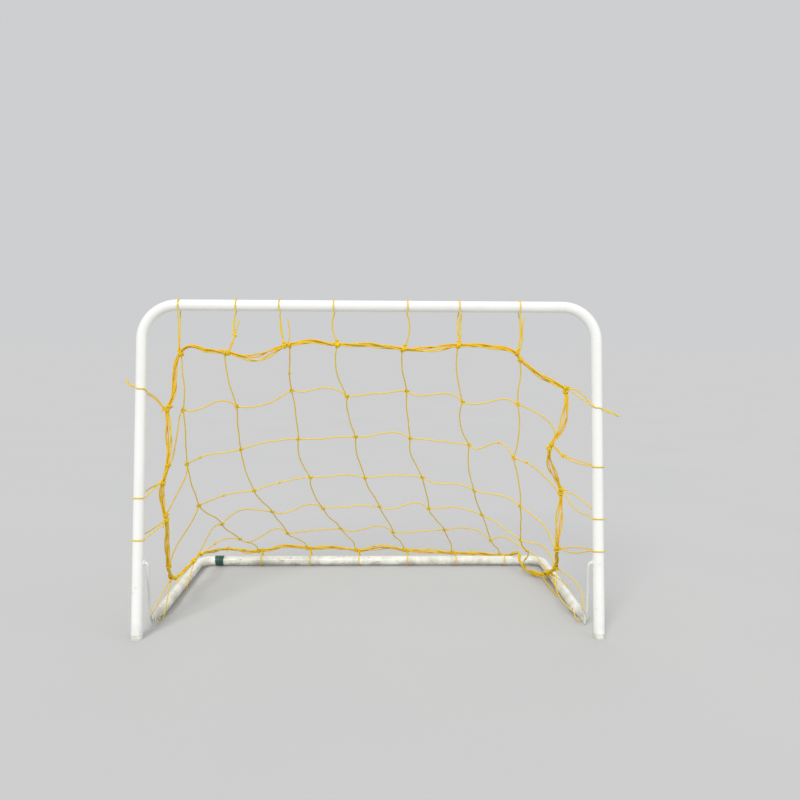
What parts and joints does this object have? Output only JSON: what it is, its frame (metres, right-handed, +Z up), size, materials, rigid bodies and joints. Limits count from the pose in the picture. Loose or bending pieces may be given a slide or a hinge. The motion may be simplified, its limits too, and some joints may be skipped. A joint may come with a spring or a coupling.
{
  "type": "mini football goal",
  "caption": "Small free-standing football goal: bent tube hoop hinged to a U-shaped ground frame, with a coarse knotted yellow net tied round its edge.",
  "frame": {"origin": "on the floor, below the middle of the goal's outline", "axes": "+X to the goal's right as seen from the front, +Y to the rear bar, +Z up; the open mouth faces -Y"},
  "size_m": [0.8212, 0.4706, 0.558],
  "materials": {
    "white_enamel": "white baked enamel on round steel tube, satin",
    "rod_enamel": "white enamel on thin steel rod, satin",
    "white_plastic": "off-white moulded plastic, matte",
    "teal_plastic": "dark teal heat-shrunk plastic sleeve, satin",
    "net_yellow": "twisted polyethylene twine, golden yellow",
    "cord_yellow": "bundle of twisted twine, orange yellow",
    "tie_yellow": "twisted polyethylene twine, golden yellow"
  },
  "bodies": {
    "hoop": {"goal_hoop": "white_enamel", "left_foot_plug": "white_plastic", "right_foot_plug": "white_plastic", "left_hinge_rod": "rod_enamel", "right_hinge_rod": "rod_enamel", "crossbar_tie_1": "tie_yellow", "crossbar_tie_2": "tie_yellow", "crossbar_tie_3": "tie_yellow", "crossbar_tie_4": "tie_yellow", "crossbar_tie_5": "tie_yellow", "crossbar_tie_6": "tie_yellow", "crossbar_tie_7": "tie_yellow", "left_post_tie_1": "tie_yellow", "left_post_tie_2": "tie_yellow", "left_post_tie_3": "tie_yellow", "right_post_tie_1": "tie_yellow", "right_post_tie_2": "tie_yellow", "right_post_tie_3": "tie_yellow", "right_post_tie_4": "tie_yellow"},
    "ground_frame": {"ground_frame": "white_enamel", "rear_bar_sleeve": "teal_plastic", "rear_tie_1": "tie_yellow", "rear_tie_2": "tie_yellow", "rear_tie_3": "tie_yellow", "rear_tie_4": "tie_yellow", "rear_tie_5": "tie_yellow", "rear_tie_6": "tie_yellow", "left_front_ground_tie": "tie_yellow", "left_mid_ground_tie": "tie_yellow", "right_front_ground_tie": "tie_yellow", "right_mid_ground_tie": "tie_yellow", "border_cord": "cord_yellow", "net": "net_yellow"}
  },
  "joints": [
    {"name": "fold", "type": "hinge", "parent": "hoop", "child": "ground_frame", "pos_m": [0, -0.16438, 0.0116], "axis": [1, 0, 0], "range_deg": [0, 83], "deforming": ["net", "border_cord", "crossbar_tie_1", "crossbar_tie_2", "crossbar_tie_3", "crossbar_tie_4", "crossbar_tie_5", "crossbar_tie_6", "crossbar_tie_7", "left_post_tie_1", "left_post_tie_2", "left_post_tie_3", "right_post_tie_1", "right_post_tie_2", "right_post_tie_3", "right_post_tie_4", "left_front_ground_tie", "left_mid_ground_tie", "right_front_ground_tie", "right_mid_ground_tie"]}
  ]
}
